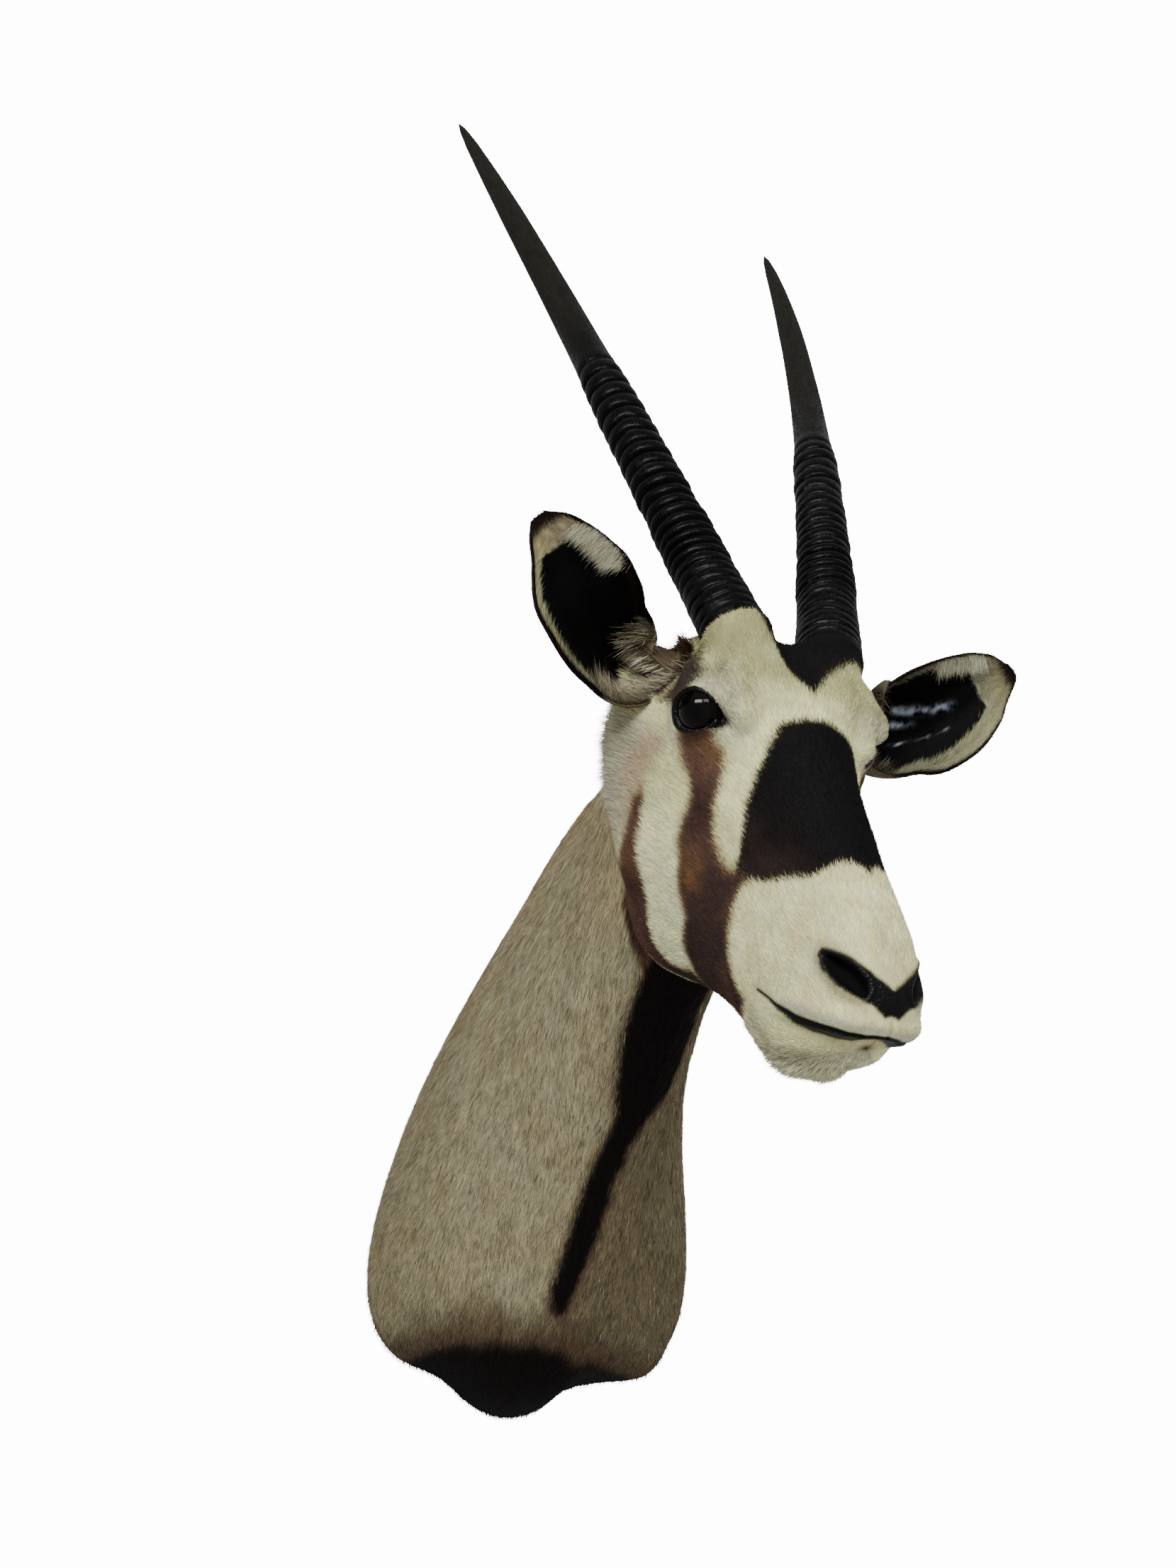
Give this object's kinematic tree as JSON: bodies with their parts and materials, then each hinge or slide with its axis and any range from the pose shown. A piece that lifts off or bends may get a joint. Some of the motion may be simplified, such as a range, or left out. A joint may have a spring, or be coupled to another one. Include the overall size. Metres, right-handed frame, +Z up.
{
  "type": "gemsbok shoulder mount with horns",
  "caption": "Gemsbok shoulder mount: hide over head, neck and shoulders, long ringed horns, glass eyes, and a back board with a keyhole hanger.",
  "frame": {"origin": "centre of the back board's rear face, in the wall plane", "axes": "+Z up, +Y into the wall, +X to the animal's own left; the mount stands out from the wall along -Y"},
  "size_m": [0.5096, 0.7701, 1.49],
  "materials": {
    "hide": "short dense hair, fawn neck, black and cream face markings",
    "horn": "dark keratin horn, ringed and glossy below, smooth and satin towards the tip",
    "eye_glass": "dark brown taxidermy glass, polished",
    "plywood": "plain birch plywood, unsealed",
    "steel": "zinc-plated steel"
  },
  "bodies": {
    "root": {"hide": "hide", "horn_left": "horn", "horn_right": "horn", "eye_left": "eye_glass", "eye_right": "eye_glass", "back_board": "plywood", "hanger_plate": "steel", "hanger_screw_left": "steel", "hanger_screw_right": "steel"}
  },
  "joints": []
}
